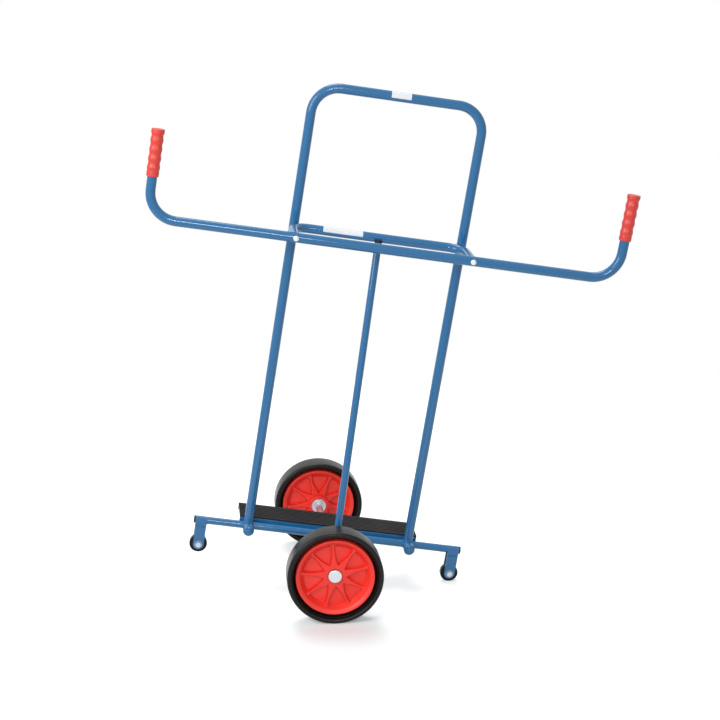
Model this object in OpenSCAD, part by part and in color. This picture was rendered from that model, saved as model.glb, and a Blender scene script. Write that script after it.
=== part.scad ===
// Sheet goods cart: a flat frame of welded steel tube that stands on two
// large wheels and leans on one of two small castors. Sheets stand on the
// rubber-covered load channel, behind the uprights.
// Millimetres. The frame is drawn level with the axle through the origin,
// then leaned over until the right castor meets the floor at z = 0.

/* [Wheels] */
// Outside diameter of a main wheel
wheel_d = 250; // [236:1:280]
// Width of the tyre
tyre_w = 62; // [56:1:70]
// Radius of the tyre's round shoulder
tyre_shoulder = 6.5; // [4:0.5:8]
// How far the tyre's side lies inside its shoulder
side_inset = 10.5; // [7:0.5:12]
// Diameter of the raised ring on the tyre's side
ring_d = 218; // [212:0.5:219]
// Radius of that ring's bead
ring_bead = 1.4; // [1:0.1:2]
// Distance between the middle planes of the two wheels
track = 538; // [520:1:600]
// Distance of the wheels' middle behind the uprights
axle_back = 33; // [20:1:60]
// Diameter of the rim's flange
flange_d = 203; // [198:1:208]
// Diameter of the rim's barrel, which carries the tyre
barrel_d = 190; // [186:1:194]
// How far the flange lies inside the tyre's side
flange_inset = 12.5; // [8:0.5:15]
// Thickness of the flange
flange_t = 5; // [4:0.5:7]
// Width of the sloping lip inside the flange
lip_w = 14.5; // [11:0.5:17]
// Fall of the sloping lip from the flange's face
lip_fall = 4.5; // [3:0.5:6]
// Width of the drafted wall between lip and web
draft_w = 5; // [3:0.5:8]
// Thickness of the closed web between the ribs
web_t = 6; // [4:0.5:9]
// How far ribs and hub stand below the flange's face
rib_inset = 6.5; // [5:0.5:8]
// Number of ribs on a rim
rib_count = 9; // [7:1:10]
// Least width of a rib
rib_w = 4.4; // [3:0.2:6]
// Distance of a rib's narrowest place from the wheel's axis
rib_neck = 74; // [70:1:80]
// Radius of a rib's hollow sides
rib_curve = 145; // [125:1:180]
// Width of the small flare where a rib meets the lip
rib_flare = 9; // [7:0.5:12]
// Turn of the front wheel's first rib from straight up
rib_turn = 4; // [0:1:39]
// Diameter of the rim's hub
hub_d = 56; // [50:1:60]
// Reach of the hub on the wheel's inner side
hub_in = 30; // [26:1:36]
// Diameter of the recess round the axle cap
recess_d = 38.5; // [37:0.5:42]
// Depth of that recess
recess_h = 4; // [3:0.5:5]

/* [Axle] */
// Diameter of the axle
axle_d = 20; // [18:0.5:24]
// Wall of the bearing bush
bush_wall = 4; // [3:0.5:5]
// Radial running clearance of a bush on the axle
bush_clearance = 0.05; // [0.02:0.01:0.09]
// Diameter of the push-on axle cap
cap_d = 35.5; // [32:0.5:37]
// Height of the axle cap
cap_h = 7; // [6:0.5:10]
// Radius of the rounded edge of the axle cap
cap_edge = 2.5; // [1.5:0.5:4]
// Diameter of the steel washer inside the wheel
washer_d = 40; // [34:1:44]
// Thickness of the washer
washer_t = 3; // [2:0.5:4]
// Diameter of the collar that stops the washer
collar_d = 30; // [28:1:34]
// Length of the collar
collar_l = 10; // [8:1:14]
// End play of a turning piece on each side
end_play = 0.4; // [0.3:0.1:0.8]

/* [Base] */
// Diameter of the castor rail
rail_d = 20; // [18:0.5:24]
// Reach of the castor rail past a castor's axle
rail_over = 20; // [18:0.5:60]
// Depth of the notch that seats the rail on the axle
rail_seat = 2; // [1:0.5:4]
// Wall of the frame's tubes
tube_wall = 2; // [1.5:0.25:2.5]
// Diameter of the two cross tubes
cross_d = 30; // [28:0.5:34]
// Reach of a cross tube in front of the uprights
cross_front = 46; // [36:1:70]
// Reach of a cross tube behind the uprights
cross_rear = 116; // [112:1:160]
// Thickness of the cap that closes a cross tube
cross_cap_t = 5; // [4:0.5:8]
// Rounding of that cap's edge
cross_cap_edge = 3.5; // [2:0.5:4]
// Lip of a black end plug
plug_lip = 3.5; // [2:0.5:5]
// Length of a plug's shank inside the tube
plug_shank = 14; // [10:1:20]

/* [Load channel] */
// Length of the load channel
channel_l = 486; // [470:1:520]
// Depth of the load channel, front to back
channel_w = 98; // [80:1:98]
// Height of the channel's turned-down lips
channel_h = 14; // [12:0.5:18]
// Thickness of the channel's sheet
channel_t = 2.5; // [2:0.5:4]
// Gap between the uprights and the channel
channel_gap = 0.4; // [0.3:0.1:2]
// Thickness of the rubber mat
mat_t = 4; // [3:0.5:6]
// Spacing of the mat's grooves
groove_pitch = 10; // [8:0.5:14]
// Width of a groove
groove_w = 3; // [2:0.5:4]
// Depth of a groove
groove_depth = 1; // [0.5:0.25:1.5]

/* [Hoop and bow] */
// Distance between the axes of the hoop's two uprights
frame_w = 438; // [420:1:460]
// Diameter of the hoop's tube
upright_d = 25; // [22:0.5:28]
// Height of the hoop's top bar over the axle
handle_top = 1205; // [1100:5:1300]
// Bend radius at the hoop's top corners
handle_bend = 68; // [50:1:90]
// Diameter of the bow's tube
bow_d = 24; // [20:0.5:24.5]
// Bend radius at the bow's corners
bow_bend = 45; // [38:1:60]
// Distance of an arm's axis outside the upright's axis
arm_over = 5; // [0:0.5:10]
// Depth of the notch that seats the bow on an upright
bow_seat = 1; // [0.5:0.25:1.25]

/* [Handlebar] */
// Diameter of the handlebar's tube
bar_d = 25; // [25:0.5:27]
// Height of the handlebar over the axle
bar_h = 844; // [780:2:900]
// Distance of the handlebar in front of the uprights
bar_reach = 155; // [135:1:180]
// Distance between the axes of the two turned-up ends
bar_w = 1188; // [1000:2:1300]
// Bend radius of the turned-up ends
bar_bend = 70; // [55:1:85]
// Height of the grips' tops over the handlebar's axis
bar_rise = 219; // [200:1:240]
// Length of a grip
grip_l = 116; // [100:1:125]
// Outside diameter of a grip at its waves
grip_d = 32; // [31:0.5:36]
// Diameter of the grip's top collar
grip_collar_d = 33; // [32:0.5:37]
// Height of the grip's top collar
grip_collar_h = 10; // [7:0.5:12]
// Number of waves along a grip
grip_waves = 4; // [3:1:5]
// Distance between two waves
wave_pitch = 22.5; // [17:0.5:24]
// Length of a wave
wave_l = 19.5; // [15:0.5:22]
// Height of a wave
wave_h = 1.6; // [1:0.1:2]
// Distance of the topmost wave's middle below the grip's top
wave_start = 27; // [24:0.5:30]
// Thickness of the grip's closed top
grip_top = 4; // [3:0.5:6]
// Diameter of the bolts that join handlebar and arms
bolt_d = 8; // [6:1:9]
// Diameter of a bolt's button head
bolt_head_d = 14; // [12:0.5:16]
// Height of a bolt's button head
bolt_head_h = 4.5; // [3:0.5:6]
// Clearance of a bolt in the handlebar, on the radius
bolt_clearance = 0.25; // [0.2:0.05:0.5]
// Length of the threaded insert in an arm
insert_l = 25; // [20:1:40]
// Reach of a bolt into its insert
bolt_reach = 15; // [10:1:20]

/* [Brace] */
// Diameter of the brace
brace_d = 19; // [16:0.5:19.5]
// Distance of the brace's foot in front of the uprights
brace_foot = 172; // [150:1:185]
// Distance of the brace's top below the bow's axis
brace_under = 5.5; // [2:0.5:6.5]
// Depth to which the brace's side lies inside the bow's round
brace_seat = 4.5; // [3:0.5:6]
// Height of the lip of the plug in the brace's upper end
brace_lip = 2; // [1:0.25:3]

/* [Castors] */
// Diameter of a castor wheel
castor_d = 48; // [44:1:56]
// Width of a castor wheel
castor_w = 18; // [16:0.5:20]
// Diameter of a castor wheel's hub
castor_hub_d = 34; // [28:0.5:36]
// Distance between the two castors' axles
castor_spread = 691; // [600:1:800]
// Drop of a castor's axle below the rail's axis
castor_drop = 66; // [58:1:75]
// Width of a fork plate
plate_w = 29; // [24:0.5:30]
// Thickness of a fork plate
plate_t = 3; // [2.5:0.5:5]
// Outward set of a fork plate below the rail
plate_set = 1.5; // [0.5:0.25:2]
// Distance of that set below the rail's underside
plate_drop = 8; // [4:0.5:14]
// Height of a fork plate's top edge above the rail's axis
plate_over = 5; // [2:0.5:7]
// Diameter of a castor's axle bolt
castor_bolt_d = 8; // [6:0.5:10]
// Width across the flats of the bolt's head and nut
castor_hex = 13; // [12:0.5:17]
// Thickness of the bolt's head and nut
castor_hex_h = 4; // [3:0.5:7]
// Reach of the bolt past its nut
castor_bolt_end = 3; // [1:0.5:6]
// Diameter of the washers under head and nut
castor_washer_d = 22; // [18:0.5:26]
// Thickness of those washers
castor_washer_t = 1.5; // [1:0.25:2.5]

/* [Hidden] */
$fn = 64;
sliver = 0.01;
wheel_r = wheel_d / 2;
castor_r = castor_d / 2;
rail_z = axle_d / 2 + rail_d / 2 - rail_seat;
cross_x = frame_w / 2;
cross_top = rail_z + cross_d / 2;
castor_x = castor_spread / 2;
rail_l = castor_spread + 2 * rail_over;
castor_z = rail_z - castor_drop;
lean = acos((castor_r - wheel_r) / norm([castor_x, castor_z])) - atan2(castor_x, castor_z);
channel_y = upright_d / 2 + channel_gap;
mat_z = cross_top + channel_t;
bow_x = cross_x + arm_over;
bow_touch = bow_bend + bow_d / 2 + upright_d / 2 - bow_seat;
bow_y = -sqrt(bow_touch * bow_touch - pow(bow_bend - arm_over, 2));
crossbar_y = bow_y + bow_bend;
brace_offset = bow_d / 2 + brace_d / 2 - brace_seat;
brace_span = norm([crossbar_y + brace_foot, bar_h]);
brace_tilt = atan2(crossbar_y + brace_foot, bar_h) - asin(brace_offset / brace_span);
brace_l = sqrt(brace_span * brace_span - brace_offset * brace_offset) - brace_under;
bush_d = axle_d + 2 * bush_wall;
flange_z = tyre_w / 2 - flange_inset;
rib_z = flange_z - rib_inset;
lip_r = flange_d / 2 - lip_w;
seat_z = rib_z - recess_h;
cap_z = seat_z + end_play;
cap_bore = cap_h / 2;
axle_l = track + 2 * (cap_z + cap_bore);
plate_gap = castor_w / 2 + end_play;
plate_out = plate_gap + plate_set + plate_t;
washer_out = plate_out + castor_washer_t;
steel_blue = [0.21, 0.42, 0.66];
grip_red = [0.86, 0.16, 0.1];
rim_red = [0.93, 0.24, 0.18];
rubber_black = [0.1, 0.1, 0.1];
plug_black = [0.06, 0.06, 0.06];
zinc = [0.8, 0.81, 0.82];

// Lifts the level frame onto its wheels and leans it onto the right castor
module leaning() {
    translate([0, 0, wheel_r]) rotate([0, lean, 0]) children();
}

// Round bar along X, Y or Z, from its start
module along_x(l, d) { rotate([0, 90, 0]) cylinder(h = l, d = d); }
module along_y(l, d) { rotate([-90, 0, 0]) cylinder(h = l, d = d); }
module along_z(l, d) { cylinder(h = l, d = d); }

// Quarter bend that starts below its centre and turns up to the right
module elbow(bend, d) {
    rotate([0, 0, -90]) rotate_extrude(angle = 90) translate([bend, 0]) circle(d = d);
}

// Places a flat shape drawn in x and y upright, across or along the cart
module facing_front() { rotate([90, 0, 0]) children(); }
module facing_side() { rotate([90, 0, 90]) children(); }

// Both sides of the cart
module both_sides() {
    children();
    mirror([1, 0, 0]) children();
}

// Whole round of the castor rail
module rail_round(d, l) {
    translate([-l / 2, 0, rail_z]) along_x(l, d);
}

// Whole round of one cross tube, side -1 is left
module cross_round(side, d, front, rear) {
    translate([side * cross_x, -front, rail_z]) along_y(front + rear, d);
}

// Whole round of the axle
module axle_round() {
    translate([0, axle_back - axle_l / 2, 0]) along_y(axle_l, axle_d);
}

// Half of the hoop: upright, upper bend and top bar
module hoop_half(d, extra) {
    side_top = handle_top - handle_bend;
    translate([cross_x, 0, rail_z - extra]) along_z(side_top - rail_z + extra, d);
    translate([cross_x - handle_bend, 0, side_top])
        facing_front() rotate([0, 0, 90]) elbow(handle_bend, d);
    translate([0, 0, handle_top]) along_x(cross_x - handle_bend, d);
}

// Whole round of the hoop
module hoop_round(d, extra = 0) {
    both_sides() hoop_half(d, extra);
}

// Straight middle of the bow, between its bends
module crossbar_half(d) {
    translate([0, crossbar_y, bar_h]) along_x(bow_x - bow_bend, d);
}

// Half of the bow: arm, bend and crossbar
module bow_half(d, extra) {
    translate([bow_x, -bar_reach - extra, bar_h]) along_y(bar_reach + extra + bow_y, d);
    translate([bow_x - bow_bend, bow_y, bar_h]) rotate([0, 0, 90]) elbow(bow_bend, d);
    crossbar_half(d);
}

// Whole round of the bow
module bow_round(d, extra = 0) {
    both_sides() bow_half(d, extra);
}

// Half of the handlebar: straight, end bend and riser
module bar_half(d, riser) {
    bend_x = bar_w / 2 - bar_bend;
    along_x(bend_x, d);
    translate([bend_x, 0, bar_bend]) facing_front() elbow(bar_bend, d);
    translate([bar_w / 2, 0, bar_bend]) along_z(riser - bar_bend, d);
}

// Whole round of the handlebar
module bar_round(d, riser) {
    translate([0, -bar_reach, bar_h]) both_sides() bar_half(d, riser);
}

// Sets a shape drawn up the Z axis along the brace
module along_brace() {
    translate([0, -brace_foot, 0]) rotate([-brace_tilt, 0, 0]) children();
}

// Castor rail between the cross tubes, notched over the axle
module rail_middle() {
    color(steel_blue) leaning() difference() {
        rail_round(rail_d, frame_w);
        rail_round(rail_d - 2 * tube_wall, frame_w + 1);
        axle_round();
        for (side = [-1, 1]) cross_round(side, cross_d, cross_front, cross_rear);
    }
}

// Castor rail outside one cross tube, with its open end
module rail_outer(side) {
    color(steel_blue) leaning() difference() {
        translate([side > 0 ? cross_x : plug_lip - rail_l / 2, 0, rail_z])
            along_x(rail_l / 2 - plug_lip - cross_x, rail_d);
        rail_round(rail_d - 2 * tube_wall, rail_l);
        cross_round(side, cross_d, cross_front, cross_rear);
    }
}

// Black end plug of the castor rail
module rail_plug(side) {
    color(plug_black) leaning() mirror([side > 0 ? 0 : 1, 0, 0]) {
        translate([rail_l / 2 - plug_lip, 0, rail_z]) along_x(plug_lip, rail_d);
        translate([rail_l / 2 - plug_lip - plug_shank, 0, rail_z])
            along_x(plug_shank + sliver, rail_d - 2 * tube_wall);
    }
}

// Cross tube, front to back under the load channel
module cross_tube(side) {
    color(steel_blue) leaning() difference() {
        cross_round(side, cross_d, cross_front - cross_cap_t, cross_rear - cross_cap_t);
        cross_round(side, cross_d - 2 * tube_wall, cross_front + 1, cross_rear + 1);
    }
}

// Rounded cap that closes one end of a cross tube, drawn with its crown up
module cross_cap_shape() {
    rotate_extrude() {
        square([cross_d / 2 - cross_cap_edge, cross_cap_t]);
        square([cross_d / 2, cross_cap_t - cross_cap_edge]);
        translate([cross_d / 2 - cross_cap_edge, cross_cap_t - cross_cap_edge]) intersection() {
            circle(r = cross_cap_edge);
            square(cross_cap_edge);
        }
    }
}

module cross_cap(side, front) {
    reach = front ? cross_front : cross_rear;
    color(steel_blue) leaning()
        translate([side * cross_x, (front ? -1 : 1) * (reach - cross_cap_t), rail_z])
            rotate([front ? 90 : -90, 0, 0]) cross_cap_shape();
}

// Folded sheet channel that lies over the cross tubes
module load_channel() {
    color(steel_blue) leaning() difference() {
        translate([-channel_l / 2, channel_y, mat_z - channel_h]) cube([channel_l, channel_w, channel_h]);
        translate([-channel_l / 2 - 1, channel_y + channel_t, mat_z - channel_h - 1])
            cube([channel_l + 2, channel_w - 2 * channel_t, channel_h + 1 - channel_t]);
        for (side = [-1, 1]) cross_round(side, cross_d, cross_front, cross_rear);
    }
}

// Grooved rubber mat on the load channel
module load_mat() {
    groove_n = floor((channel_w - groove_pitch) / groove_pitch);
    color(rubber_black) leaning() translate([-channel_l / 2, channel_y, mat_z]) difference() {
        cube([channel_l, channel_w, mat_t]);
        for (i = [1 : groove_n])
            translate([-1, i * groove_pitch, mat_t - groove_depth]) cube([channel_l + 2, groove_w, mat_t]);
    }
}

// Hoop: both uprights and the push handle, one bent tube that stands on the cross tubes
module frame_hoop() {
    color(steel_blue) leaning() difference() {
        hoop_round(upright_d);
        hoop_round(upright_d - 2 * tube_wall, 1);
        for (side = [-1, 1]) cross_round(side, cross_d, cross_front, cross_rear);
    }
}

// Bow: crossbar and both arms, one bent tube on the front of the uprights
module arm_bow() {
    color(steel_blue) leaning() difference() {
        bow_round(bow_d);
        bow_round(bow_d - 2 * tube_wall, 1);
        bar_round(bar_d, bar_bend + 1);
        for (side = [-1, 1]) translate([side * cross_x, 0, bar_h - bow_d]) along_z(2 * bow_d, upright_d);
    }
}

// Handlebar with its turned-up ends, drilled for the two bolts
module handlebar() {
    riser = bar_rise - grip_top;
    color(steel_blue) leaning() difference() {
        bar_round(bar_d, riser);
        bar_round(bar_d - 2 * tube_wall, riser + 1);
        for (side = [-1, 1])
            translate([side * bow_x, -bar_reach - bar_d, bar_h])
                along_y(2 * bar_d, bolt_d + 2 * bolt_clearance);
    }
}

// Outer half section of a grip, from its lower end up
module grip_section() {
    collar_edge = 1;
    wave_r = (wave_l * wave_l / 4 + wave_h * wave_h) / (2 * wave_h);
    square([grip_d / 2 - wave_h, grip_l - collar_edge]);
    translate([0, grip_l - grip_collar_h]) square([grip_collar_d / 2, grip_collar_h - collar_edge]);
    translate([0, grip_l - grip_collar_h]) square([grip_collar_d / 2 - collar_edge, grip_collar_h]);
    for (i = [0 : grip_waves - 1]) intersection() {
        translate([grip_d / 2 - wave_r, grip_l - wave_start - i * wave_pitch])
            circle(r = wave_r, $fn = 128);
        square([grip_d, grip_l]);
    }
}

// Wavy plastic grip, closed at the top
module grip(side) {
    color(grip_red) leaning()
        translate([side * bar_w / 2, -bar_reach, bar_h + bar_rise - grip_l]) difference() {
            rotate_extrude() grip_section();
            translate([0, 0, -1]) along_z(grip_l - grip_top + 1, bar_d);
        }
}

// Two button-head bolts through the handlebar into the arms
module handle_bolts() {
    head_y = -bar_reach - bar_d / 2;
    color(zinc) leaning() for (side = [-1, 1]) translate([side * bow_x, head_y, bar_h]) {
        along_y(bar_d + bolt_reach, bolt_d);
        rotate([90, 0, 0]) rotate_extrude() intersection() {
            translate([0, -bolt_head_d * 0.45]) circle(d = bolt_head_d * 1.5);
            square([bolt_head_d / 2, bolt_head_h]);
        }
    }
}

// Threaded inserts fixed in the front ends of the arms
module arm_inserts() {
    color(zinc) leaning() for (side = [-1, 1]) difference() {
        translate([side * bow_x, -bar_reach, bar_h]) along_y(bar_d / 2 + insert_l, bow_d - 2 * tube_wall);
        bar_round(bar_d, bar_bend + 1);
        translate([side * bow_x, -bar_reach, bar_h]) along_y(bar_d / 2 + insert_l + 1, bolt_d);
    }
}

// Brace from the axle up to the front of the bow
module front_brace() {
    color(steel_blue) leaning() difference() {
        along_brace() along_z(brace_l - brace_lip, brace_d);
        along_brace() translate([0, 0, -1]) along_z(brace_l + 1, brace_d - 2 * tube_wall);
        axle_round();
        both_sides() crossbar_half(bow_d);
    }
}

// Black plug in the brace's upper end
module brace_plug() {
    color(plug_black) leaning() difference() {
        along_brace() union() {
            translate([0, 0, brace_l - brace_lip]) along_z(brace_lip, brace_d);
            translate([0, 0, brace_l - brace_lip - plug_shank])
                along_z(plug_shank + sliver, brace_d - 2 * tube_wall);
        }
        both_sides() crossbar_half(bow_d);
    }
}

// Solid axle through both wheels
module axle() {
    color(zinc) leaning() axle_round();
}

// Sets a shape whose outer side is +Z on the front or rear wheel's place
module at_wheel(front) {
    translate([0, axle_back + (front ? -1 : 1) * track / 2, wheel_r])
        rotate([front ? 90 : -90, 0, 0]) children();
}

// Both faces of a wheel, drawn as its outer half
module both_faces() {
    children();
    mirror([0, 0, 1]) children();
}

// Half section of the tyre: flat side with a raised ring, round shoulder, seat for the rim
module tyre_section() {
    half = tyre_w / 2;
    shoulder_r = wheel_r - 2 * tyre_shoulder;
    difference() {
        union() {
            square([shoulder_r, half - side_inset]);
            translate([shoulder_r, 0]) square([2 * tyre_shoulder, half - tyre_shoulder]);
            translate([shoulder_r + tyre_shoulder, half - tyre_shoulder]) circle(r = tyre_shoulder);
            translate([ring_d / 2, half - side_inset]) circle(r = ring_bead);
        }
        translate([0, -half]) square([barrel_d / 2, tyre_w * 2]);
        translate([0, flange_z - flange_t]) square([flange_d / 2, half]);
        translate([0, -half * 2]) square([wheel_r + 1, half * 2]);
    }
}

// Solid rubber tyre
module tyre(front) {
    color(rubber_black) at_wheel(front) both_faces() rotate_extrude($fn = 128) tyre_section();
}

// Outline of one rib, hollow on both sides, with a flare at the lip
module rib_outline() {
    difference() {
        translate([-rib_curve / 2, 0]) square([rib_curve, lip_r]);
        for (side = [-1, 1])
            translate([side * (rib_w / 2 + rib_curve), rib_neck]) circle(r = rib_curve, $fn = 256);
    }
    polygon([
        [-rib_w / 2, rib_neck], [-rib_flare / 2, lip_r], [rib_flare / 2, lip_r], [rib_w / 2, rib_neck]
    ]);
}

// Star of ribs about the hub
module rib_star() {
    intersection() {
        for (i = [0 : rib_count - 1]) rotate(i * 360 / rib_count + rib_turn) rib_outline();
        circle(r = lip_r, $fn = 128);
    }
}

// Half of the rim: barrel, flange, sloping lip, drafted wall, web and ribs
module rim_half() {
    edge = 1;
    rotate_extrude($fn = 128) polygon([
        [bush_d / 2, 0], [barrel_d / 2, 0], [barrel_d / 2, flange_z - flange_t],
        [flange_d / 2, flange_z - flange_t], [flange_d / 2, flange_z - edge],
        [flange_d / 2 - edge, flange_z], [flange_d / 2 - 2 * edge, flange_z],
        [lip_r, flange_z - lip_fall], [lip_r - draft_w, web_t / 2], [bush_d / 2, web_t / 2]
    ]);
    linear_extrude(rib_z) difference() {
        rib_star();
        circle(d = recess_d);
    }
}

// Hub of a rim, longer on the inner side and recessed for the axle cap
module hub_shape() {
    difference() {
        translate([0, 0, -hub_in]) cylinder(h = hub_in + rib_z, d = hub_d);
        translate([0, 0, seat_z]) cylinder(h = recess_h + 1, d = recess_d);
        translate([0, 0, -hub_in - 1]) cylinder(h = hub_in + rib_z + 2, d = bush_d);
    }
}

// Red plastic rim with closed web and hollow-sided ribs
module rim(front) {
    color(rim_red) at_wheel(front) {
        both_faces() rim_half();
        hub_shape();
    }
}

// Bearing bush pressed into the rim's hub
module bush(front) {
    color(zinc) at_wheel(front) difference() {
        translate([0, 0, -hub_in]) cylinder(h = hub_in + seat_z, d = bush_d);
        translate([0, 0, -hub_in - 1]) cylinder(h = hub_in + seat_z + 2, d = axle_d + 2 * bush_clearance);
    }
}

// Push-on cap over the axle's end
module axle_cap(front) {
    color(zinc) at_wheel(front) translate([0, 0, cap_z]) difference() {
        rotate_extrude() {
            square([cap_d / 2 - cap_edge, cap_h]);
            square([cap_d / 2, cap_h - cap_edge]);
            translate([cap_d / 2 - cap_edge, cap_h - cap_edge]) intersection() {
                circle(r = cap_edge);
                square(cap_edge);
            }
        }
        translate([0, 0, -1]) cylinder(h = cap_bore + 1, d = axle_d);
    }
}

// Steel washer between the wheel and its collar
module washer(front) {
    color(zinc) at_wheel(front) translate([0, 0, -hub_in - end_play - washer_t]) difference() {
        cylinder(h = washer_t, d = washer_d);
        translate([0, 0, -1]) cylinder(h = washer_t + 2, d = axle_d);
    }
}

// Collar fixed on the axle inside the wheel
module collar(front) {
    color(zinc) at_wheel(front) translate([0, 0, -hub_in - end_play - washer_t - collar_l]) difference() {
        cylinder(h = collar_l, d = collar_d);
        translate([0, 0, -1]) cylinder(h = collar_l + 2, d = axle_d);
    }
}

// Sets a shape drawn about a castor's axle, with Y along that axle
module at_castor(side) {
    leaning() translate([side * castor_x, 0, castor_z]) children();
}

// Fork plate welded to the rail, face -1 is the front one
module fork_plate(side, face) {
    step_z = castor_drop - rail_d / 2 - plate_drop;
    top_z = castor_drop + plate_over;
    color(steel_blue) difference() {
        at_castor(side) scale([1, face, 1]) {
            translate([-plate_w / 2, plate_gap, step_z]) cube([plate_w, plate_t, top_z - step_z]);
            translate([-plate_w / 2, plate_gap + plate_set, 0]) cube([plate_w, plate_t, step_z + plate_t]);
            translate([0, plate_gap + plate_set, 0]) along_y(plate_t, plate_w);
        }
        at_castor(side) translate([0, -plate_out - 1, 0]) along_y(2 * plate_out + 2, castor_bolt_d);
        leaning() rail_round(rail_d, rail_l);
    }
}

// Rubber tread of a castor wheel
module castor_tyre(side) {
    edge = 3;
    color(rubber_black) at_castor(side) translate([0, -castor_w / 2, 0]) rotate([-90, 0, 0])
        rotate_extrude() difference() {
            union() {
                translate([0, edge]) square([castor_r, castor_w - 2 * edge]);
                square([castor_r - edge, castor_w]);
                for (z = [edge, castor_w - edge]) translate([castor_r - edge, z]) circle(r = edge);
            }
            translate([-castor_r, -1]) square([castor_r + castor_hub_d / 2, castor_w + 2]);
        }
}

// Hub of a castor wheel, turning on its bolt
module castor_hub(side) {
    color(plug_black) at_castor(side) difference() {
        translate([0, -castor_w / 2, 0]) along_y(castor_w, castor_hub_d);
        translate([0, -castor_w, 0]) along_y(2 * castor_w, castor_bolt_d + 2 * bush_clearance);
    }
}

// Hexagon bolt that is a castor's axle, with its head to the front
module castor_bolt(side) {
    color(zinc) at_castor(side) {
        translate([0, -washer_out - sliver, 0])
            along_y(2 * washer_out + castor_hex_h + castor_bolt_end, castor_bolt_d);
        translate([0, -washer_out - castor_hex_h, 0]) rotate([-90, 0, 0])
            cylinder(h = castor_hex_h, d = castor_hex / cos(30), $fn = 6);
    }
}

// Nut on a castor's bolt
module castor_nut(side) {
    color(zinc) at_castor(side) translate([0, washer_out, 0]) rotate([-90, 0, 0]) difference() {
        cylinder(h = castor_hex_h, d = castor_hex / cos(30), $fn = 6);
        translate([0, 0, -1]) cylinder(h = castor_hex_h + 2, d = castor_bolt_d);
    }
}

// Two washers on a castor's bolt, outside the fork plates
module castor_washers(side) {
    color(zinc) at_castor(side) for (start = [-washer_out, plate_out]) difference() {
        translate([0, start, 0]) along_y(castor_washer_t, castor_washer_d);
        translate([0, start - 1, 0]) along_y(castor_washer_t + 2, castor_bolt_d);
    }
}

rail_middle();
rail_outer(-1);  // rail_left
rail_outer(1);  // rail_right
rail_plug(-1);  // rail_plug_left
rail_plug(1);  // rail_plug_right
cross_tube(-1);  // cross_tube_left
cross_tube(1);  // cross_tube_right
cross_cap(-1, true);  // cross_cap_front_left
cross_cap(1, true);  // cross_cap_front_right
cross_cap(-1, false);  // cross_cap_rear_left
cross_cap(1, false);  // cross_cap_rear_right
load_channel();
load_mat();
frame_hoop();
arm_bow();
handlebar();
grip(-1);  // grip_left
grip(1);  // grip_right
handle_bolts();
arm_inserts();
front_brace();
brace_plug();
axle();
tyre(true);  // front_tyre
rim(true);  // front_rim
bush(true);  // front_bush
axle_cap(true);  // front_cap
washer(true);  // front_washer
collar(true);  // front_collar
tyre(false);  // rear_tyre
rim(false);  // rear_rim
bush(false);  // rear_bush
axle_cap(false);  // rear_cap
washer(false);  // rear_washer
collar(false);  // rear_collar
fork_plate(-1, -1);  // fork_front_left
fork_plate(-1, 1);  // fork_rear_left
castor_tyre(-1);  // castor_tyre_left
castor_hub(-1);  // castor_hub_left
castor_bolt(-1);  // castor_bolt_left
castor_nut(-1);  // castor_nut_left
castor_washers(-1);  // castor_washers_left
fork_plate(1, -1);  // fork_front_right
fork_plate(1, 1);  // fork_rear_right
castor_tyre(1);  // castor_tyre_right
castor_hub(1);  // castor_hub_right
castor_bolt(1);  // castor_bolt_right
castor_nut(1);  // castor_nut_right
castor_washers(1);  // castor_washers_right
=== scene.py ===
import math

import bmesh
import bpy
from mathutils import Matrix, Vector


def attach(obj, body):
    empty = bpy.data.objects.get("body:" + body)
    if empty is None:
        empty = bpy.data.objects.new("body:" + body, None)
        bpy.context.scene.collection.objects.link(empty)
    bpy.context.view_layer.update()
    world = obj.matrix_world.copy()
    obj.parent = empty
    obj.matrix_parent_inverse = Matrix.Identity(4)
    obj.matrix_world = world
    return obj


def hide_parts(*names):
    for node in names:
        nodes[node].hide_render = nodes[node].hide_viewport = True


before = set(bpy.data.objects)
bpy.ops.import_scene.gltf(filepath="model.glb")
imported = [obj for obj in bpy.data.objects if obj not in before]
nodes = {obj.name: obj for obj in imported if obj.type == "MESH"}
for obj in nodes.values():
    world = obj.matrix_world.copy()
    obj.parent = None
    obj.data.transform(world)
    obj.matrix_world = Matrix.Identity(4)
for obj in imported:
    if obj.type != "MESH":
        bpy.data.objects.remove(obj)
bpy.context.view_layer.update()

# Castor rail: 20 mm steel tube along the foot of the cart, in three lengths coped to the cross
# tubes and seated on the axle. Blue powder coat over everything that is welded.


def linear(r, g, b):
    """Colour given as 0 to 255 screen values, as the shader wants it."""
    shares = (c / 255 for c in (r, g, b))
    return tuple(c / 12.92 if c <= 0.04045 else ((c + 0.055) / 1.055) ** 2.4 for c in shares) + (1.0,)


def surface_group():
    """Node group: fine grain for a bump and a slow variation mask, both on object coordinates."""
    group = bpy.data.node_groups.new("surface grain", "ShaderNodeTree")
    group.interface.new_socket("Grain scale", in_out="INPUT", socket_type="NodeSocketFloat")
    group.interface.new_socket("Grain", in_out="OUTPUT", socket_type="NodeSocketFloat")
    group.interface.new_socket("Drift", in_out="OUTPUT", socket_type="NodeSocketFloat")
    inside = group.nodes.new("NodeGroupInput")
    outside = group.nodes.new("NodeGroupOutput")
    coords = group.nodes.new("ShaderNodeTexCoord")
    fine = group.nodes.new("ShaderNodeTexNoise")
    fine.inputs["Detail"].default_value = 2.0
    slow = group.nodes.new("ShaderNodeTexNoise")
    slow.inputs["Scale"].default_value = 9.0
    slow.inputs["Detail"].default_value = 3.0
    group.links.new(coords.outputs["Object"], fine.inputs["Vector"])
    group.links.new(coords.outputs["Object"], slow.inputs["Vector"])
    group.links.new(inside.outputs["Grain scale"], fine.inputs["Scale"])
    group.links.new(fine.outputs["Fac"], outside.inputs["Grain"])
    group.links.new(slow.outputs["Fac"], outside.inputs["Drift"])
    return group


GRAIN = surface_group()


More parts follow.
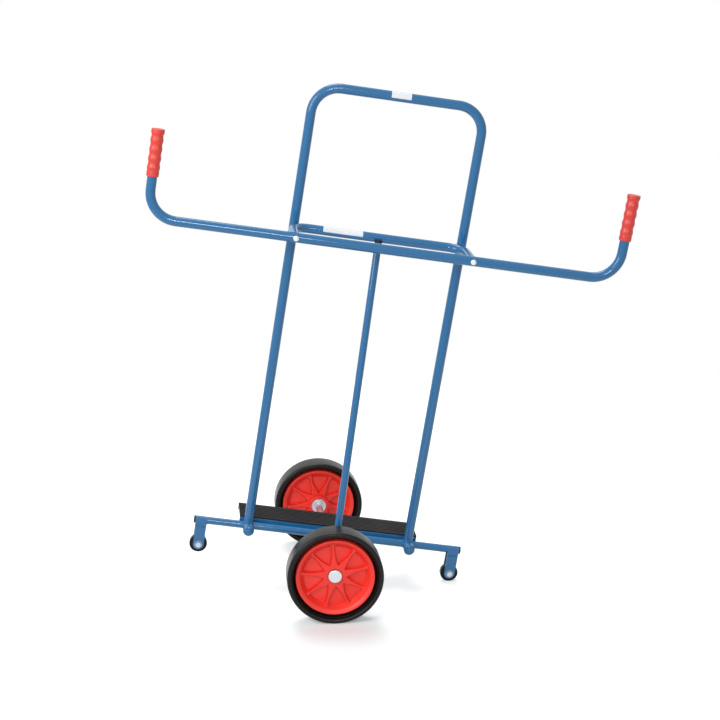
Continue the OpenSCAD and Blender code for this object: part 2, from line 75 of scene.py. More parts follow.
def finish_of(name, colour, dark, rough, rough_spread, grain_scale, grain_depth,
              metallic=0.0, coat=0.0, shine=0.5):
    """Material whose colour and roughness drift a little and whose surface has a fine grain."""
    mat = bpy.data.materials.new(name)
    mat.use_nodes = True
    tree = mat.node_tree
    shader = tree.nodes["Principled BSDF"]
    grain = tree.nodes.new("ShaderNodeGroup")
    grain.node_tree = GRAIN
    grain.inputs["Grain scale"].default_value = grain_scale
    tint = tree.nodes.new("ShaderNodeMix")
    tint.data_type = "RGBA"
    tint.inputs["A"].default_value = dark
    tint.inputs["B"].default_value = colour
    spread = tree.nodes.new("ShaderNodeMapRange")
    spread.inputs["From Min"].default_value = 0.3
    spread.inputs["From Max"].default_value = 0.7
    spread.inputs["To Min"].default_value = rough - rough_spread
    spread.inputs["To Max"].default_value = rough + rough_spread
    bump = tree.nodes.new("ShaderNodeBump")
    bump.inputs["Strength"].default_value = 0.35
    bump.inputs["Distance"].default_value = grain_depth
    tree.links.new(grain.outputs["Drift"], tint.inputs["Factor"])
    tree.links.new(tint.outputs["Result"], shader.inputs["Base Color"])
    tree.links.new(grain.outputs["Drift"], spread.inputs["Value"])
    tree.links.new(spread.outputs["Result"], shader.inputs["Roughness"])
    tree.links.new(grain.outputs["Grain"], bump.inputs["Height"])
    tree.links.new(bump.outputs["Normal"], shader.inputs["Normal"])
    shader.inputs["Metallic"].default_value = metallic
    shader.inputs["Specular IOR Level"].default_value = shine
    shader.inputs["Coat Weight"].default_value = coat
    shader.inputs["Coat Roughness"].default_value = 0.09
    return mat


def dress(mat, *names):
    """Gives CAD nodes their material."""
    for name in names:
        nodes[name].data.materials.clear()
        nodes[name].data.materials.append(mat)


blue_coat = finish_of(
    "blue powder coat", linear(36, 107, 158), linear(32, 101, 151), rough=0.4, rough_spread=0.05,
    grain_scale=900.0, grain_depth=0.0002, coat=0.75, shine=0.1)
dress(blue_coat, "rail_middle", "rail_left", "rail_right")

# Rail plugs: black plastic caps pressed into the rail's open ends.
# Matte moulded plastic with a fine spark-eroded grain.
plug_black = finish_of(
    "black plug plastic", linear(18, 19, 21), linear(13, 14, 15), rough=0.5, rough_spread=0.06,
    grain_scale=1600.0, grain_depth=0.0003, shine=0.2)
dress(plug_black, "rail_plug_left", "rail_plug_right")

# Cross tubes: 30 mm tube across the rail, closed at both ends by domed welded caps.
# Same powder coat as the rail.
# The frame leans: a level point (mm, axle at the origin) goes to the floor frame (m) by LEAN.
wheel_r = 125.0
lean_angle = math.radians(8.921534)
MILLIMETRES = Matrix.Scale(0.001, 4)
LEAN = Matrix.Translation((0, 0, wheel_r / 1000)) @ Matrix.Rotation(lean_angle, 4, "Y") @ MILLIMETRES
cross_x, cross_r, rail_z, cross_front, cross_rear = 219.0, 15.0, 18.0, 46.0, 116.0
dome_base, dome_rise, dome_skirt = 4.2, 6.5, 0.8
dress(blue_coat, "cross_tube_left", "cross_tube_right")


def finished(name, bm, place, mat, body, sharp=40):
    """Turns a bmesh into a piece of the object, in place, riding on its body."""
    bm.transform(place)
    bmesh.ops.remove_doubles(bm, verts=bm.verts, dist=1e-6)
    bmesh.ops.recalc_face_normals(bm, faces=bm.faces)
    mesh = bpy.data.meshes.new(name)
    bm.to_mesh(mesh)
    bm.free()
    for face in mesh.polygons:
        face.use_smooth = True
    mesh.set_sharp_from_angle(angle=math.radians(sharp))
    mesh.materials.append(mat)
    piece = bpy.data.objects.new(name, mesh)
    bpy.context.collection.objects.link(piece)
    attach(piece, body)
    return piece


def turn(bm, outline, steps):
    """Spins a closed outline of (radius, height) round the Z axis."""
    ring = [bm.verts.new((p[0], 0, p[1])) for p in outline]
    edges = [bm.edges.new((ring[i - 1], ring[i])) for i in range(len(ring))]
    bmesh.ops.spin(bm, geom=ring + edges, cent=(0, 0, 0), axis=(0, 0, 1), angle=2 * math.pi,
                   steps=steps, use_merge=True)


quarter = [math.pi / 24 * k for k in range(13)]
dome = [(cross_r * math.sin(t), dome_rise * math.cos(t)) for t in quarter]
dome += [(cross_r, -dome_skirt), (0, -dome_skirt)]
for side, name in ((-1, "left"), (1, "right")):
    for way, end, reach in ((-1, "front", cross_front), (1, "rear", cross_rear)):
        bm = bmesh.new()
        turn(bm, dome, 64)
        spot = Matrix.Translation((side * cross_x, way * (reach - dome_base), rail_z))
        place = LEAN @ spot @ Matrix.Rotation(-way * math.pi / 2, 4, "X")
        cap_name = "cross_cap_%s_%s_domed" % (end, name)
        cap = finished(cap_name, bm, place, blue_coat, "frame")
        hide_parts("cross_cap_%s_%s" % (end, name))

# Load channel: folded sheet over the cross tubes, behind the uprights, under a grooved mat.
# Powder-coated sheet, black rubber mat glued on.
mat_rubber = finish_of(
    "black rubber", linear(17, 17, 18), linear(12, 12, 13), rough=0.72, rough_spread=0.08,
    grain_scale=1400.0, grain_depth=0.0004, shine=0.25)
dress(blue_coat, "load_channel")
dress(mat_rubber, "load_mat")

# Hoop: both uprights and the push handle in one bent 25 mm tube, standing on the cross tubes.
# Powder coated after welding.
dress(blue_coat, "frame_hoop")

# Bow: crossbar and both arms in one bent 24 mm tube, welded to the front of the uprights.
# Powder coated with the frame.
dress(blue_coat, "arm_bow")

# Handlebar: 25 mm tube bent up at both ends and bolted to the arms from the front.
# Powder coated; zinc-plated button-head bolts and threaded inserts.
zinc = finish_of(
    "zinc plate", linear(212, 215, 220), linear(196, 200, 206), rough=0.4, rough_spread=0.06,
    grain_scale=700.0, grain_depth=0.0002, metallic=1.0)
dress(blue_coat, "handlebar")
dress(zinc, "handle_bolts", "arm_inserts")

# Grips: wavy sleeves with a wide top collar and a finely ribbed foot, pushed over the bar's ends.
# Glossy soft red plastic, turned from one section.
bar_reach, bar_h, bar_w, bar_rise = 155.0, 844.0, 1188.0, 219.0
grip_l, grip_core, grip_foot, grip_collar = 116.0, 14.5, 15.3, 16.5
wave_middles, wave_half, wave_h = (21.5, 44.0, 66.5, 89.0), 11.0, 1.6
foot_fade, collar_fade = (12.0, 18.0), (102.5, 107.0)
foot_edge_h, foot_edge, top_edge = 2.5, 1.2, 0.9
grip_bore, bore_top, grip_top_r, skin_r = 12.55, 112.0, 8.0, 13.0
foot_ribs, foot_rib_h, foot_rib_fade = 40, 0.2, (9.0, 14.0)
grip_red = finish_of(
    "red grip plastic", linear(216, 48, 30), linear(209, 42, 25), rough=0.45, rough_spread=0.05,
    grain_scale=1100.0, grain_depth=0.0003, shine=0.8)


def soft_step(low, high, value):
    """Rises smoothly from 0 at low to 1 at high."""
    t = min(1.0, max(0.0, (value - low) / (high - low)))
    return t * t * (3 - 2 * t)


def grip_radius(z):
    """Radius of a grip at a height over its lower end."""
    waves = sum(wave_h * math.cos(math.pi / 2 * (z - m) / wave_half) ** 2
                for m in wave_middles if abs(z - m) < wave_half)
    foot = (grip_foot - grip_core) * (1 - soft_step(*foot_fade, z))
    collar = (grip_collar - grip_core) * soft_step(*collar_fade, z)
    below = 1 - min(z, foot_edge_h) / foot_edge_h
    above = max(0.0, z - grip_l + top_edge) / top_edge
    eased = foot_edge * (1 - math.sqrt(1 - below ** 2)) + top_edge * (1 - math.sqrt(1 - above ** 2))
    return grip_core + max(waves, foot) + collar - eased


heights = [0, 0.15, 0.4, 0.8, 1.4, 2.0] + [foot_edge_h + k for k in range(113)]
heights += [grip_l - drop for drop in (0.7, 0.4, 0.15, 0.03, 0)]
section = [(grip_radius(z), z) for z in heights]
section += [(grip_top_r, grip_l), (0, grip_l), (0, bore_top), (grip_bore, bore_top), (grip_bore, 0)]
for side, name in ((-1, "left"), (1, "right")):
    bm = bmesh.new()
    turn(bm, section, 160)
    for vert in bm.verts:
        radius = math.hypot(vert.co.x, vert.co.y)
        if radius > skin_r and vert.co.z < foot_rib_fade[1]:
            ridge = foot_rib_h * math.cos(foot_ribs * math.atan2(vert.co.y, vert.co.x))
            vert.co.xy *= (radius + ridge * (1 - soft_step(*foot_rib_fade, vert.co.z))) / radius
    place = LEAN @ Matrix.Translation((side * bar_w / 2, -bar_reach, bar_h + bar_rise - grip_l))
    grip = finished("grip_%s_moulded" % name, bm, place, grip_red, "frame")
    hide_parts("grip_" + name)

# Front brace: 19 mm tube from the axle to the front of the bow, closed on top.
# Powder coated; the black plastic plug has a short skirt over the tube's end.
upright_r, brace_r, axle_r = 12.5, 9.5, 10.0
bow_r, bow_bend, arm_over, bow_seat = 12.0, 45.0, 5.0, 1.0
brace_foot, brace_seat, brace_under, brace_lip = 172.0, 4.5, 5.5, 2.0
bow_touch = bow_bend + bow_r + upright_r - bow_seat
bow_y = -math.sqrt(bow_touch ** 2 - (bow_bend - arm_over) ** 2)
crossbar_y = bow_y + bow_bend
brace_offset = bow_r + brace_r - brace_seat
brace_run = crossbar_y + brace_foot
brace_tilt = math.atan2(brace_run, bar_h) - math.asin(brace_offset / math.hypot(brace_run, bar_h))
brace_top = math.sqrt(brace_run ** 2 + bar_h ** 2 - brace_offset ** 2) - brace_under - brace_lip
plug_skirt, plug_r, plug_crown = 4.6, brace_r + 0.35, 2.8
# Plug's edge: inset and height over the tube's end.
plug_edge = [(0.0, 1.0), (0.3, 1.8), (1.0, 2.3), (2.2, 2.6)]
dress(blue_coat, "front_brace")
bm = bmesh.new()
plug_outline = [(0, -plug_skirt), (plug_r, -plug_skirt)]
plug_outline += [(plug_r - inset, height) for inset, height in plug_edge] + [(0, plug_crown)]
turn(bm, plug_outline, 48)
place = LEAN @ Matrix.Translation((0, -brace_foot, 0)) @ Matrix.Rotation(-brace_tilt, 4, "X")
place = place @ Matrix.Translation((0, 0, brace_top))
plug = finished("brace_plug_skirted", bm, place, plug_black, "frame")
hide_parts("brace_plug")

# Weld beads: rippled beads where rail, hoop, bow and brace meet their neighbours, and round the
# castor plates where they meet the rail. Under the same powder coat as the tubes.
rail_r = 10.0
post_bead, rail_bead, bow_bead, brace_bead, side_bead = 1.7, 1.5, 2.0, 1.6, 1.5
castor_x, plate_half, plate_top, plate_ledge, plate_face = 345.5, 14.5, 23.0, 3.0, 12.4
plate_bead_half = 0.95 * plate_half
# Beads along a castor plate: height, distance from the rail's middle and size.
plate_beads = [(plate_top + 0.2, 10.2, 1.9), (plate_ledge, plate_face + 1.1, 1.8)]
side_low, side_long, side_out = 9.0, 13.0, 10.6
seat_half, seat_drop = 0.75, 1.0
short_ripple, long_ripple, ripple_share, end_share = 1.7, 2.6, 0.1, 0.35


def bead(bm, path, size, closed=True, ripple=short_ripple):
    """Weld bead along a line of points, thick and thin by turns like laid scales."""
    count = len(path)
    middle = sum(path, Vector()) / count
    run = 0.0
    stations = []
    for i, point in enumerate(path):
        ahead = path[(i + 1) % count] if closed else path[min(i + 1, count - 1)]
        back = path[i - 1] if closed or i else path[0]
        along = (ahead - back).normalized()
        out = (point - middle) - along * (point - middle).dot(along)
        out = out.normalized() if out.length > 0.01 else along.orthogonal().normalized()
        swell = size * (1 + ripple_share * math.sin(run * 2 * math.pi / ripple))
        if not closed and i in (0, count - 1):
            swell *= end_share
        turned = Matrix((out, along.cross(out), along)).transposed().to_4x4()
        stations.append(Matrix.Translation(point) @ turned @ Matrix.Scale(swell, 4))
        run += (ahead - point).length
    strand = bmesh.new()
    ring = bmesh.ops.create_circle(strand, segments=8, radius=1.0, matrix=stations[0])["verts"]
    first = last = list({edge for vert in ring for edge in vert.link_edges})
    for here, there in zip(stations, stations[1:]):
        grown = bmesh.ops.extrude_edge_only(strand, edges=last)["geom"]
        ring = [part for part in grown if isinstance(part, bmesh.types.BMVert)]
        last = [part for part in grown if isinstance(part, bmesh.types.BMEdge)]
        bmesh.ops.transform(strand, matrix=there @ here.inverted(), verts=ring)
    if closed:
        bmesh.ops.bridge_loops(strand, edges=first + last)
    else:
        bmesh.ops.edgeloop_fill(strand, edges=first)
        bmesh.ops.edgeloop_fill(strand, edges=last)
    carrier = bpy.data.meshes.new("strand")
    strand.to_mesh(carrier)
    strand.free()
    bm.from_mesh(carrier)
    bpy.data.meshes.remove(carrier)


def round_trip(count, spot):
    """Points of a closed curve, from a function of the angle."""
    return [Vector(spot(2 * math.pi * k / count)) for k in range(count)]


bm = bmesh.new()
for side in (-1, 1):
    bead(bm, round_trip(96, lambda t: (
        side * cross_x + upright_r * math.cos(t), upright_r * math.sin(t),
        rail_z + math.sqrt(cross_r ** 2 - (upright_r * math.cos(t)) ** 2))), post_bead)
    for face in (-1, 1):
        bead(bm, round_trip(72, lambda t: (
            side * cross_x + face * math.sqrt(cross_r ** 2 - (rail_r * math.sin(t)) ** 2),
            rail_r * math.cos(t), rail_z + rail_r * math.sin(t))), rail_bead)
    to_post = Vector((bow_bend - arm_over, -bow_y, 0)).normalized()
    sideways = Vector((to_post.y, -to_post.x, 0))
    bow_middle = Vector((cross_x + arm_over - bow_bend, bow_y, bar_h)) + bow_bend * to_post
    reach = bow_r + upright_r - bow_seat
    half_angle = math.acos((reach - upright_r) / bow_r)
    loop = []
    for k in range(64):
        t = 2 * math.pi * k / 64
        a = half_angle * math.sin(t)
        wide = math.sqrt(max(0.0, upright_r ** 2 - (reach - bow_r * math.cos(a)) ** 2))
        spot = bow_middle + to_post * bow_r * math.cos(a) + Vector((0, 0, bow_r * math.sin(a)))
        spot += sideways * wide * (1 if math.cos(t) >= 0 else -1)
        loop.append(Vector((side * spot.x, spot.y, spot.z)))
    bead(bm, loop, bow_bead)
brace_way = Vector((0, math.sin(brace_tilt), math.cos(brace_tilt)))
brace_side = Vector((0, math.cos(brace_tilt), -math.sin(brace_tilt)))


def brace_point(t, s):
    """Point on the brace's round at an angle and a distance up its axis."""
    across = Vector((math.cos(t), 0, 0)) + brace_side * math.sin(t)
    return Vector((0, -brace_foot, 0)) + brace_way * s + brace_r * across


def brace_cope(t):
    """Distance up the brace's axis at which its round meets the axle, at an angle."""
    reach = math.sqrt(axle_r ** 2 - (brace_r * math.cos(t)) ** 2)
    return (reach + brace_r * math.sin(t) * math.sin(brace_tilt)) / math.cos(brace_tilt)


bead(bm, round_trip(72, lambda t: brace_point(t, brace_cope(t))), brace_bead)
seat = [math.pi / 2 + seat_half * (2 * k / 23 - 1) for k in range(24)]
bead(bm, [brace_point(t, brace_top - plug_skirt - seat_drop) for t in seat], brace_bead, closed=False)
for side in (-1, 1):
    for face in (-1, 1):
        for height, out, size in plate_beads:
            spots = [side * castor_x + plate_bead_half * (1 - 2 * k / 31) for k in range(32)]
            line = [Vector((x, face * out, height)) for x in spots]
            bead(bm, line, size, closed=False, ripple=long_ripple)
        for edge in (-1, 1):
            x = side * castor_x + edge * plate_half
            line = [Vector((x, face * side_out, side_low + side_long * k / 15)) for k in range(16)]
            bead(bm, line, side_bead, closed=False, ripple=long_ripple)
finished("weld_beads", bm, LEAN, blue_coat, "frame", sharp=70)

# Labels: two blank white stickers, on the hoop's top bar and on the front of the bow.
# Thin plastic film that follows the tube's round.
label_white = finish_of(
    "white label film", linear(232, 235, 238), linear(222, 227, 232), rough=0.42, rough_spread=0.04,
    grain_scale=600.0, grain_depth=0.0001)
handle_top, label_lift, label_film = 1205.0, 0.03, 0.14
# Name, left and right end, the tube's place and radius, lower and upper edge in degrees.
labels = [
    ("label_hoop", -25.0, 26.0, 0.0, handle_top, upright_r, -14, 112),
    ("label_bow", -144.0, -41.0, crossbar_y, bar_h, bow_r, -3, 108)]
for name, left, right, tube_y, tube_z, tube_r, low, high in labels:
    bm = bmesh.new()
    bmesh.ops.create_grid(bm, x_segments=12, y_segments=24, size=1.0)
    for vert in bm.verts:
        angle = math.radians((low + high) / 2 + (high - low) / 2 * vert.co.y)
        reach = tube_r + label_lift
        vert.co = ((left + right) / 2 + (right - left) / 2 * vert.co.x,
                   tube_y - reach * math.cos(angle), tube_z + reach * math.sin(angle))
    bmesh.ops.recalc_face_normals(bm, faces=bm.faces)
    bmesh.ops.solidify(bm, geom=bm.faces[:], thickness=label_film)
    finished(name, bm, LEAN, label_white, "frame")

# Axle with its caps, washers and collars: zinc-plated steel.
# The caps are pushed over the axle's ends.
dress(zinc, "axle", "front_cap", "rear_cap", "front_washer", "rear_washer",
      "front_collar", "rear_collar")

# Main wheels: red moulded rims and solid rubber tyres, each turned from one section.
# Each face of a rim's web has a star of hollow-sided ribs round the hub, and raised panels between.
# The rims turn on bushes pressed into their hubs.
rim_red = finish_of(
    "red rim plastic", linear(241, 50, 34), linear(237, 45, 31), rough=0.46, rough_spread=0.05,
    grain_scale=900.0, grain_depth=0.0003, shine=0.65)
tyre_black = finish_of(
    "black tyre rubber", linear(22, 21, 20), linear(16, 16, 15), rough=0.3, rough_spread=0.06,
    grain_scale=1300.0, grain_depth=0.0004, shine=0.2)
rib_count, rib_w, rib_neck, rib_curve, rib_flare, rib_end = 9, 4.4, 74.0, 145.0, 12.0, 89.0
flare_out, flare_up = 0.5, 5.0
front_rib, front_web, back_rib, back_web = 10.0, 0.5, 12.0, 2.5
# Steps of the star's foot and of the top edges: height, and how far out or in.
star_foot = [(-0.4, 1.0), (0.1, 0.7), (0.9, 0.3), (1.6, 0.1)]
star_edge = [(-0.8, 0.0), (-0.25, -0.2), (0.0, -0.7), (0.0, -1.0)]
panel_gap, panel_rise, panel_r = 2.6, 2.4, 79.5
panel_edge = [(-0.7, 0.0), (-0.2, 0.3), (0.0, 0.9)]
panel_sunk, recess_edge = 0.3, 0.8
recess_r, rib_turn, hub_in, web_out = 19.25, 4.0, 26.0, 81.8
shoulder, shoulder_z = 6.5, 24.5
half_tyre = [(95, 5, 0), (103.4, 5, 0), (104.4, 5.5, 0.5), (109.2, 19.5, 1.5), (109.9, 22.4, 0.9),
             (111.3, 22.4, 0.9), (111.7, 20.9, 0.4), (112, 20.9, 0.2)]
bend = [math.radians(a) for a in range(180, -1, -12)]
half_tyre += [(wheel_r - shoulder + shoulder * math.cos(t), shoulder_z + shoulder * math.sin(t), 0)
              for t in bend]
tyre_outline = half_tyre + [(x, -z, r) for x, z, r in reversed(half_tyre)]
lip = [(90.5, 17.5, 3.0), (96, 21.5, 3.0), (101.8, 23.6, 3.0), (102.6, 5, 0), (95, 5, 0)]
rim_outline = [(hub_in, front_web, 0), (web_out, front_web, 1.2)] + lip
rim_outline += [(x, -z, r) for x, z, r in reversed(lip)]
rim_outline += [(web_out, -back_web, 1.2), (hub_in, -back_web, 0)]
hub_bore, hub_r, hub_back, hub_front, recess_z = 14.0, 28.0, -30.0, 6.0, 8.0
hub_outline = [(hub_bore, hub_back, 0), (hub_r, hub_back, 1.5), (hub_r, hub_front, 0),
               (recess_r, hub_front, 0), (recess_r, recess_z, 0), (hub_bore, recess_z, 0)]


def rounded(corners, steps=5):
    """Closed outline of (x, y, radius) corners with each corner rounded to an arc."""
    points = []
    for i, (x, y, radius) in enumerate(corners):
        here = Vector((x, y))
        back = Vector(corners[i - 1][:2]) - here
        ahead = Vector(corners[(i + 1) % len(corners)][:2]) - here
        if radius == 0:
            points.append(here)
            continue
        half = back.angle(ahead) / 2
        reach = min(radius / math.tan(half), 0.45 * back.length, 0.45 * ahead.length)
        start, end = here + back.normalized() * reach, here + ahead.normalized() * reach
        for k in range(steps + 1):
            t = k / steps
            points.append(start * (1 - t) ** 2 + here * (2 * t * (1 - t)) + end * t ** 2)
    return points


def star_outline():
    """Outline of the rib star, counted round the hub, and the number of points on a rib's side."""
    def half_width(h):
        return rib_w / 2 + rib_curve - math.sqrt(rib_curve ** 2 - (h - rib_neck) ** 2)

    pitch = math.pi / rib_count
    low, high = 10.0, 60.0
    for _ in range(40):
        mid = (low + high) / 2
        low, high = (mid, high) if math.atan2(half_width(mid), mid) > pitch else (low, mid)
    steps = [low + (rib_neck - low) * k / 12 for k in range(13)]
    side = [(half_width(h), h) for h in steps]
    side += [(rib_w / 2 + flare_out, rib_neck + flare_up), (rib_flare / 2, rib_end)]
    one = side + [(-x, h) for x, h in reversed(side[1:])]
    points = []
    for i in range(rib_count):
        turned = Matrix.Rotation(2 * pitch * i + math.radians(rib_turn), 2)
        points += [turned @ Vector(p) for p in one]
    return points, len(side)


def raised(bm, loops):
    """Wall pulled up through loops of points, one out of the other; gives its first and last ring."""
    first = ring = [bm.verts.new(spot) for spot in loops[0]]
    edges = [bm.edges.new((ring[i - 1], ring[i])) for i in range(len(ring))]
    for spots in loops[1:]:
        grown = bmesh.ops.extrude_edge_only(bm, edges=edges)["geom"]
        fresh = {part for part in grown if isinstance(part, bmesh.types.BMVert)}
        edges = [part for part in grown if isinstance(part, bmesh.types.BMEdge)]
        ring = [next(edge.other_vert(vert) for edge in vert.link_edges
                     if edge.other_vert(vert) in fresh) for vert in ring]
        for vert, spot in zip(ring, spots):
            vert.co = spot
    return first, ring


def side_ways(points):
    """Directions square to an outline, away from its middle."""
    count = len(points)
    steps = [(points[(i + 1) % count] - points[i - 1]).normalized() for i in range(count)]
    return [Vector((step.y, -step.x)) for step in steps]


def star(bm, facing, foot, top):
    """Rib star on one face of the web, with a fillet at its foot and rounded top edges."""
    points, side = star_outline()
    outward = side_ways(points)
    count, per_rib, arc = len(points), 2 * side - 1, 6
    levels = [(foot + z, out) for z, out in star_foot] + [(top + z, out) for z, out in star_edge]
    walls = raised(bm, [[(*(p + n * out), z * facing) for p, n in zip(points, outward)]
                        for z, out in levels])
    circle = []
    for i in range(rib_count):
        begin, end = points[i * per_rib].normalized(), points[(i + 1) * per_rib % count].normalized()
        circle += [(begin * (arc - k) + end * k).normalized() for k in range(arc)]
    hole_levels = [(recess_r, foot + star_foot[0][0]), (recess_r, top - recess_edge),
                   (recess_r + recess_edge, top)]
    holes = raised(bm, [[(*(p * radius), z * facing) for p in circle] for radius, z in hole_levels])
    for wall, hole in zip(walls, holes):
        for i in range(rib_count):
            right = [wall[i * per_rib + k] for k in range(side)]
            left = [wall[(i + 1) * per_rib % count]]
            left += [wall[(i + 1) * per_rib - k] for k in range(1, side)]
            for k in range(side - 1):
                bm.faces.new((right[k], right[k + 1], left[k + 1], left[k]))
            inner = [hole[(i * arc + k) % len(hole)] for k in range(arc, -1, -1)]
            bm.faces.new([right[0], left[0]] + inner)


def panels(bm, facing, foot):
    """Slightly raised plates between the ribs, with a groove all round each of them."""
    points, side = star_outline()
    outward = side_ways(points)
    count, per_rib = len(points), 2 * side - 1
    levels = [(foot - panel_sunk, 0.0)] + [(foot + panel_rise + z, inset) for z, inset in panel_edge]
    for i in range(rib_count):
        between = [k % count for k in range(i * per_rib + side, (i + 1) * per_rib + side)]
        edge = [points[k] + outward[k] * panel_gap for k in between]
        edge = [spot for spot in edge if spot.length < panel_r]
        begin, end = math.atan2(edge[-1].y, edge[-1].x), math.atan2(edge[0].y, edge[0].x)
        sweep = (end - begin + math.pi) % (2 * math.pi) - math.pi
        turns = [begin + sweep * k / 8 for k in range(9)]
        edge += [panel_r * Vector((math.cos(t), math.sin(t))) for t in turns]
        heart = sum(edge, Vector((0, 0))) / len(edge)
        loops = [[(*(p + (heart - p).normalized() * inset), z * facing) for p in edge]
                 for z, inset in levels]
        for ring in raised(bm, loops):
            bm.faces.new(ring)


wheel_y = {"front": (-0.236, 1), "rear": (0.302, -1)}
for wheel, (y, out) in wheel_y.items():
    upright = Matrix.Rotation(out * math.pi / 2, 4, "X")
    place = Matrix.Translation((0, y, wheel_r / 1000)) @ upright @ MILLIMETRES
    bm = bmesh.new()
    turn(bm, rounded(tyre_outline), 128)
    tyre = finished(wheel + "_tyre_moulded", bm, place, tyre_black, wheel + "_wheel",
                    sharp=55)
    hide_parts(wheel + "_tyre")
    bm = bmesh.new()
    turn(bm, rounded(rim_outline), 128)
    turn(bm, rounded(hub_outline), 64)
    star(bm, 1, front_web, front_rib)
    star(bm, -1, back_web, back_rib)
    panels(bm, 1, front_web)
    panels(bm, -1, back_web)
    rim = finished(wheel + "_rim_moulded", bm, place, rim_red, wheel + "_wheel")
    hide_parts(wheel + "_rim")
dress(zinc, "front_bush", "rear_bush")

# Castors: fork plates welded to the rail, wheels on zinc bolts with washers outside the plates.
# Plates powder coated, wheels of black plastic with a smooth rubber tread.
castor_rubber = finish_of(
    "black castor rubber", linear(10, 10, 11), linear(8, 8, 9), rough=0.12, rough_spread=0.03,
    grain_scale=1500.0, grain_depth=0.00002, shine=0.15)
dull_zinc = finish_of(
    "dull zinc plate", linear(200, 205, 212), linear(150, 160, 172), rough=0.3, rough_spread=0.1,
    grain_scale=500.0, grain_depth=0.0004, metallic=1.0)
grey_zinc = finish_of(
    "grey washer plate", linear(132, 152, 173), linear(108, 132, 156), rough=0.5, rough_spread=0.1,
    grain_scale=500.0, grain_depth=0.0004, metallic=1.0)
dress(blue_coat, "fork_front_left", "fork_rear_left", "fork_front_right", "fork_rear_right")
dress(castor_rubber, "castor_tyre_left", "castor_tyre_right")
dress(plug_black, "castor_hub_left", "castor_hub_right")
dress(dull_zinc, "castor_bolt_left", "castor_nut_left", "castor_bolt_right", "castor_nut_right")
dress(grey_zinc, "castor_washers_left", "castor_washers_right")

# Floor: a plain round sheet under the cart that stays white and keeps the shadow.
# In front of the front wheel it glows less, so that the wheel's soft shadow shows.
# Stage only, not part of the object.
floor_r, glow_middle, glow_near, glow_far = 2.0, (0, -0.42, 0), 0.08, 0.34
glow_low, glow_high = 0.02, 0.4
floor_mesh = bpy.data.meshes.new("floor")
bm = bmesh.new()
bmesh.ops.create_circle(bm, cap_ends=True, segments=96, radius=floor_r)
bm.to_mesh(floor_mesh)
bm.free()
floor = bpy.data.objects.new("floor", floor_mesh)
bpy.context.collection.objects.link(floor)


def seen_rays(tree):
    """Value that is 1 on the rays that show the background: camera, mirror and see-through rays."""
    path = tree.nodes.new("ShaderNodeLightPath")
    first = tree.nodes.new("ShaderNodeMath")
    first.operation = "MAXIMUM"
    second = tree.nodes.new("ShaderNodeMath")
    second.operation = "MAXIMUM"
    tree.links.new(path.outputs["Is Camera Ray"], first.inputs[0])
    tree.links.new(path.outputs["Is Glossy Ray"], first.inputs[1])
    tree.links.new(first.outputs["Value"], second.inputs[0])
    tree.links.new(path.outputs["Is Transmission Ray"], second.inputs[1])
    return second.outputs["Value"]


floor_white = bpy.data.materials.new("floor white")
floor_white.use_nodes = True
floor_tree = floor_white.node_tree
floor_shader = floor_tree.nodes["Principled BSDF"]
floor_shader.inputs["Roughness"].default_value = 0.9
floor_shader.inputs["Specular IOR Level"].default_value = 0.0
floor_shader.inputs["Emission Color"].default_value = (1, 1, 1, 1)
floor_seen = seen_rays(floor_tree)
floor_tone = floor_tree.nodes.new("ShaderNodeMix")
floor_tone.data_type = "RGBA"
floor_tone.inputs["A"].default_value = (0.5, 0.5, 0.5, 1)
floor_tone.inputs["B"].default_value = (0.89, 0.92, 0.92, 1)
floor_lift = floor_tree.nodes.new("ShaderNodeMath")
floor_lift.operation = "MULTIPLY"
floor_place = floor_tree.nodes.new("ShaderNodeTexCoord")
floor_far = floor_tree.nodes.new("ShaderNodeVectorMath")
floor_far.operation = "DISTANCE"
floor_far.inputs[1].default_value = glow_middle
floor_range = floor_tree.nodes.new("ShaderNodeMapRange")
floor_range.interpolation_type = "SMOOTHSTEP"
floor_range.inputs["From Min"].default_value = glow_near
floor_range.inputs["From Max"].default_value = glow_far
floor_range.inputs["To Min"].default_value = glow_low
floor_range.inputs["To Max"].default_value = glow_high
floor_tree.links.new(floor_place.outputs["Object"], floor_far.inputs[0])
floor_tree.links.new(floor_far.outputs["Value"], floor_range.inputs["Value"])
floor_tree.links.new(floor_range.outputs["Result"], floor_lift.inputs[1])
floor_tree.links.new(floor_seen, floor_tone.inputs["Factor"])
floor_tree.links.new(floor_tone.outputs["Result"], floor_shader.inputs["Base Color"])
floor_tree.links.new(floor_seen, floor_lift.inputs[0])
floor_tree.links.new(floor_lift.outputs["Value"], floor_shader.inputs["Emission Strength"])
floor_mesh.materials.append(floor_white)

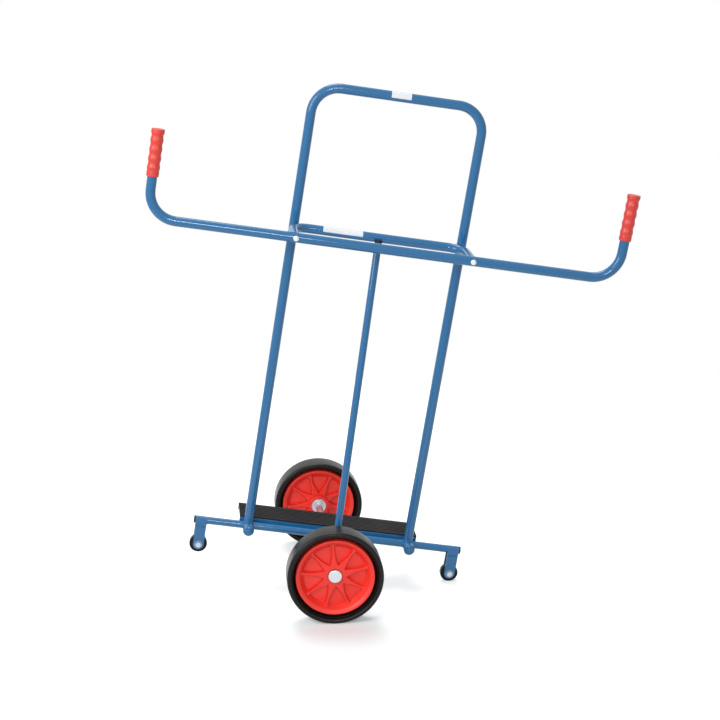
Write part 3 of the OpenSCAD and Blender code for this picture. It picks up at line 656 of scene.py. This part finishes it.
# Light: an even surround, a broad light from above, a large softbox at the left and a small one by
# the camera. The surround is pure white to the camera and in reflections.
aim = Vector((0.0, 0.0, 0.6))
world = bpy.data.worlds.new("studio")
bpy.context.scene.world = world
world.use_nodes = True
sky = world.node_tree
surround = sky.nodes["Background"]
surround.inputs["Color"].default_value = (1, 1, 1, 1)
surround.inputs["Strength"].default_value = 0.4
seen = sky.nodes.new("ShaderNodeBackground")
seen.inputs["Color"].default_value = (1, 1, 1, 1)
seen.inputs["Strength"].default_value = 1.0
blend = sky.nodes.new("ShaderNodeMixShader")
sky.links.new(seen_rays(sky), blend.inputs["Fac"])
sky.links.new(surround.outputs["Background"], blend.inputs[1])
sky.links.new(seen.outputs["Background"], blend.inputs[2])
sky.links.new(blend.outputs["Shader"], sky.nodes["World Output"].inputs["Surface"])
sun_data = bpy.data.lights.new("overhead", "SUN")
sun_data.energy = 1.3
sun_data.angle = math.radians(32)
sun = bpy.data.objects.new("overhead", sun_data)
sun.rotation_euler = Vector((0.06, -0.45, -1.0)).to_track_quat("-Z", "Y").to_euler()
bpy.context.collection.objects.link(sun)
# Name, place, width and power.
softboxes = [
    ("side softbox", (-2.5, -2.0, 2.4), 2.0, 78),
    ("front softbox", (0.2, -4.1, 2.5), 0.9, 50)]
for name, spot, width, power in softboxes:
    box_data = bpy.data.lights.new(name, "AREA")
    box_data.shape = "SQUARE"
    box_data.size = width
    box_data.energy = power
    box = bpy.data.objects.new(name, box_data)
    box.location = spot
    box.rotation_euler = (aim - box.location).to_track_quat("-Z", "Y").to_euler()
    bpy.context.collection.objects.link(box)

# Camera: the photo's own view, from the front a little left of and above the cart.
# The frame was cut from a wider view, so the lens is shifted.
camera_data = bpy.data.cameras.new("camera")
camera_data.sensor_width = 36
camera_data.lens = 83.845
camera_data.shift_x = 0.132
camera_data.shift_y = 0.03797
camera = bpy.data.objects.new("camera", camera_data)
camera.location = (-0.3636, -4.2287, 1.8173)
camera.rotation_euler = (1.28276, 0.01058, -0.05042)
bpy.context.collection.objects.link(camera)
bpy.context.scene.camera = camera
bpy.context.scene.view_settings.view_transform = "Standard"

bpy.context.view_layer.update()
